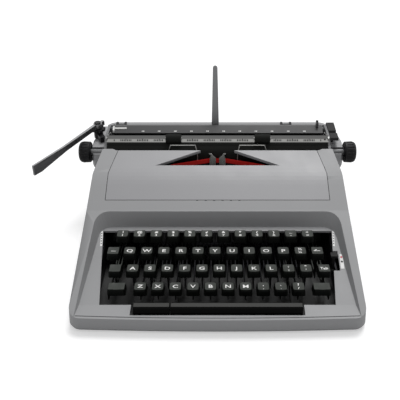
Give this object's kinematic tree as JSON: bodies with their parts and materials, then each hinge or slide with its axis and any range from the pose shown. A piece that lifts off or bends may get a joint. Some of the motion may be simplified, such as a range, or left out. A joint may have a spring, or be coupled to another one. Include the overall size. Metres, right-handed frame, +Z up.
{
  "type": "portable typewriter",
  "caption": "Portable manual typewriter with a recessed keyboard, lift-off ribbon cover, sliding carriage, paper bail and raised paper support.",
  "frame": {"origin": "under the middle of the whole machine, at table level", "axes": "+X to the typist's right along the carriage, +Y to the back, +Z up"},
  "size_m": [0.3984, 0.316, 0.1859],
  "materials": {
    "case": "fine matt grain",
    "cover": "satin",
    "rubber": "ground rubber",
    "steel": "zinc plated",
    "bright_steel": "polished",
    "black_plastic": "satin",
    "key_plastic": "satin",
    "black_metal": "black enamel",
    "white_plastic": "satin",
    "ribbon": "inked cloth"
  },
  "bodies": {
    "machine": {"base_tray": "case", "rubber_feet": "rubber", "top_shell": "case", "chassis": "steel", "key_comb": "steel", "key_pivot_rod": "bright_steel", "ribbon_runs": "ribbon", "card_wires": "bright_steel", "bell": "bright_steel", "carriage_rail": "steel"},
    "cover": {"ribbon_cover": "cover"},
    "type_basket": {"type_segment": "steel", "fulcrum_wire": "bright_steel", "type_bars": "bright_steel"},
    "type_bar_h": {"type_bar_h": "bright_steel"},
    "vibrator": {"ribbon_vibrator": "bright_steel", "ribbon": "ribbon"},
    "ribbon_spool_left": {"ribbon_spool_left": "black_plastic"},
    "ribbon_spool_right": {"ribbon_spool_right": "black_plastic"},
    "mainspring_drum": {"mainspring_drum": "steel"},
    "carriage": {"carriage_frame": "steel", "end_cover_left": "case", "end_cover_right": "case", "paper_table": "black_metal", "margin_rail": "steel", "lever_bracket": "black_metal"},
    "platen": {"platen": "rubber", "platen_shaft": "steel", "knob_left": "black_plastic", "knob_right": "black_plastic"},
    "feed_roller_front": {"feed_roller_front": "rubber"},
    "feed_roller_rear": {"feed_roller_rear": "rubber"},
    "paper_guide": {"paper_guide": "white_plastic"},
    "margin_stop_left": {"margin_stop_left": "black_metal"},
    "margin_stop_right": {"margin_stop_right": "black_metal"},
    "bail": {"paper_bail": "bright_steel"},
    "bail_rollers": {"bail_rollers": "rubber"},
    "return_lever": {"return_lever": "bright_steel"},
    "paper_support": {"paper_support": "bright_steel"},
    "paper_release": {"paper_release_lever": "black_plastic"},
    "carriage_release": {"carriage_release_lever": "black_plastic"},
    "space_bar": {"space_bar": "black_plastic"},
    "repeat_key": {"repeat_key": "black_plastic"},
    "shift_keys": {"shift_keys": "key_plastic"},
    "shift_lock_key": {"shift_lock_key": "key_plastic"},
    "margin_release_key": {"margin_release_key": "key_plastic"},
    "backspace_key": {"backspace_key": "key_plastic"},
    "tab_key": {"tab_key": "key_plastic"},
    "ribbon_selector": {"ribbon_selector": "black_plastic"},
    "key_h": {"key_h": "key_plastic"},
    "keys_row_1": {"keycaps_row_1": "key_plastic", "key_levers_row_1": "steel"},
    "keys_row_2": {"keycaps_row_2": "key_plastic", "key_levers_row_2": "steel"},
    "keys_row_3": {"keycaps_row_3": "key_plastic", "key_levers_row_3": "steel"},
    "keys_row_4": {"keycaps_row_4": "key_plastic", "key_levers_row_4": "steel"}
  },
  "joints": [
    {"name": "cover_lift", "type": "slide", "parent": "machine", "child": "cover", "axis": [0, 0, -1], "range_m": [-0.06, 0]},
    {"name": "carriage_slide", "type": "slide", "parent": "machine", "child": "carriage", "axis": [1, 0, 0], "range_m": [-0.1, 0.1]},
    {"name": "platen_turn", "type": "hinge", "parent": "carriage", "child": "platen", "pos_m": [0.02117, 0.078, 0.091], "axis": [1, 0, 0], "continuous": true},
    {"name": "feed_roller_front_turn", "type": "hinge", "parent": "carriage", "child": "feed_roller_front", "pos_m": [0.02117, 0.0676, 0.07299], "axis": [1, 0, 0], "continuous": true},
    {"name": "feed_roller_rear_turn", "type": "hinge", "parent": "carriage", "child": "feed_roller_rear", "pos_m": [0.02117, 0.0884, 0.07299], "axis": [1, 0, 0], "continuous": true},
    {"name": "bail_lift", "type": "hinge", "parent": "carriage", "child": "bail", "pos_m": [0.02117, 0.104, 0.102], "axis": [-1, 0, 0], "range_deg": [0, 45]},
    {"name": "bail_rollers_turn", "type": "hinge", "parent": "bail", "child": "bail_rollers", "pos_m": [0.02117, 0.07448, 0.11201], "axis": [1, 0, 0], "continuous": true},
    {"name": "return_lever_swing", "type": "hinge", "parent": "carriage", "child": "return_lever", "pos_m": [-0.13583, 0.106, 0.115], "axis": [0, 0, 1], "range_deg": [0, 25], "stiffness_Nm_per_rad": 0.5, "springref_deg": -11.46},
    {"name": "paper_support_fold", "type": "hinge", "parent": "carriage", "child": "paper_support", "pos_m": [0.01817, 0.1212, 0.101], "axis": [0, 0.9833, -0.1822], "range_deg": [0, 80]},
    {"name": "paper_release_pull", "type": "hinge", "parent": "carriage", "child": "paper_release", "pos_m": [0.16967, 0.115, 0.104], "axis": [1, 0, 0], "range_deg": [0, 12]},
    {"name": "carriage_release_pull", "type": "hinge", "parent": "carriage", "child": "carriage_release", "pos_m": [0.16967, 0.09, 0.104], "axis": [1, 0, 0], "range_deg": [0, 12], "stiffness_Nm_per_rad": 0.05, "springref_deg": -17.19},
    {"name": "paper_guide_slide", "type": "slide", "parent": "carriage", "child": "paper_guide", "axis": [1, 0, 0], "range_m": [0, 0.06]},
    {"name": "margin_stop_left_slide", "type": "slide", "parent": "carriage", "child": "margin_stop_left", "axis": [1, 0, 0], "range_m": [-0.005, 0.1]},
    {"name": "margin_stop_right_slide", "type": "slide", "parent": "carriage", "child": "margin_stop_right", "axis": [1, 0, 0], "range_m": [-0.06, 0.035]},
    {"name": "drum_turn", "type": "hinge", "parent": "machine", "child": "mainspring_drum", "pos_m": [-0.07383, 0.122, 0.031], "axis": [0, 1, 0], "range_deg": [-280, 280]},
    {"name": "spool_left_turn", "type": "hinge", "parent": "machine", "child": "ribbon_spool_left", "pos_m": [-0.07483, 0.029, 0.07], "axis": [0, 0, 1], "continuous": true},
    {"name": "spool_right_turn", "type": "hinge", "parent": "machine", "child": "ribbon_spool_right", "pos_m": [0.11717, 0.029, 0.07], "axis": [0, 0, 1], "continuous": true},
    {"name": "shift_press", "type": "hinge", "parent": "machine", "child": "shift_keys", "pos_m": [0.02117, 0.047, 0.012], "axis": [1, 0, 0], "range_deg": [0, 3.6], "stiffness_Nm_per_rad": 3, "springref_deg": -20.05},
    {"name": "basket_shift", "type": "slide", "parent": "machine", "child": "type_basket", "axis": [0, 0, -1], "range_m": [0, 0.006]},
    {"name": "key_h_press", "type": "hinge", "parent": "machine", "child": "key_h", "pos_m": [0.02117, 0.047, 0.012], "axis": [1, 0, 0], "range_deg": [0, 3.6], "stiffness_Nm_per_rad": 0.5, "springref_deg": -20.05},
    {"name": "type_bar_h_swing", "type": "hinge", "parent": "type_basket", "child": "type_bar_h", "pos_m": [0.0226, 0.06014, 0.03123], "axis": [-0.9997, 0.0021, -0.0245], "range_deg": [0, 84]},
    {"name": "ribbon_lift", "type": "slide", "parent": "machine", "child": "vibrator", "axis": [0, 0, 1], "range_m": [0, 0.0035]},
    {"name": "keys_row_1_press", "type": "hinge", "parent": "machine", "child": "keys_row_1", "pos_m": [0.02117, 0.047, 0.012], "axis": [1, 0, 0], "range_deg": [0, 3.6], "stiffness_Nm_per_rad": 2, "springref_deg": -17.19},
    {"name": "keys_row_2_press", "type": "hinge", "parent": "machine", "child": "keys_row_2", "pos_m": [0.02117, 0.047, 0.012], "axis": [1, 0, 0], "range_deg": [0, 3.6], "stiffness_Nm_per_rad": 2, "springref_deg": -17.19},
    {"name": "keys_row_3_press", "type": "hinge", "parent": "machine", "child": "keys_row_3", "pos_m": [0.02117, 0.047, 0.012], "axis": [1, 0, 0], "range_deg": [0, 3.6], "stiffness_Nm_per_rad": 2, "springref_deg": -17.19},
    {"name": "keys_row_4_press", "type": "hinge", "parent": "machine", "child": "keys_row_4", "pos_m": [0.02117, 0.047, 0.012], "axis": [1, 0, 0], "range_deg": [0, 3.6], "stiffness_Nm_per_rad": 2, "springref_deg": -17.19},
    {"name": "space_bar_press", "type": "hinge", "parent": "machine", "child": "space_bar", "pos_m": [0.02117, 0.047, 0.012], "axis": [1, 0, 0], "range_deg": [0, 1.6], "stiffness_Nm_per_rad": 1.5, "springref_deg": -11.46},
    {"name": "repeat_key_press", "type": "hinge", "parent": "machine", "child": "repeat_key", "pos_m": [0.02117, 0.047, 0.012], "axis": [1, 0, 0], "range_deg": [0, 1.6], "stiffness_Nm_per_rad": 0.8, "springref_deg": -11.46},
    {"name": "shift_lock_press", "type": "hinge", "parent": "machine", "child": "shift_lock_key", "pos_m": [0.02117, 0.047, 0.012], "axis": [1, 0, 0], "range_deg": [0, 3.2], "stiffness_Nm_per_rad": 0.5, "springref_deg": -17.19},
    {"name": "margin_release_press", "type": "hinge", "parent": "machine", "child": "margin_release_key", "pos_m": [0.02117, 0.047, 0.012], "axis": [1, 0, 0], "range_deg": [0, 3.2], "stiffness_Nm_per_rad": 0.5, "springref_deg": -17.19},
    {"name": "backspace_press", "type": "hinge", "parent": "machine", "child": "backspace_key", "pos_m": [0.02117, 0.047, 0.012], "axis": [1, 0, 0], "range_deg": [0, 3.2], "stiffness_Nm_per_rad": 0.5, "springref_deg": -17.19},
    {"name": "tab_press", "type": "hinge", "parent": "machine", "child": "tab_key", "pos_m": [0.02117, 0.047, 0.012], "axis": [1, 0, 0], "range_deg": [0, 3.2], "stiffness_Nm_per_rad": 0.5, "springref_deg": -17.19},
    {"name": "ribbon_selector_tilt", "type": "hinge", "parent": "machine", "child": "ribbon_selector", "pos_m": [0.15167, -0.081, 0.024], "axis": [1, 0, 0], "range_deg": [-12, 12]}
  ],
  "couplings": [
    {"joint": "feed_roller_front_turn", "follows": "platen_turn", "ratio": -3.1},
    {"joint": "feed_roller_rear_turn", "follows": "platen_turn", "ratio": -3.1},
    {"joint": "bail_rollers_turn", "follows": "platen_turn", "ratio": -2.8182},
    {"joint": "spool_right_turn", "follows": "spool_left_turn", "ratio": 1},
    {"joint": "drum_turn", "follows": "carriage_slide", "rad_per_m": 47.619},
    {"joint": "basket_shift", "follows": "shift_press", "m_per_rad": 0.095493},
    {"joint": "type_bar_h_swing", "follows": "key_h_press", "ratio": 23.333},
    {"joint": "ribbon_lift", "follows": "key_h_press", "m_per_rad": 0.055704}
  ]
}
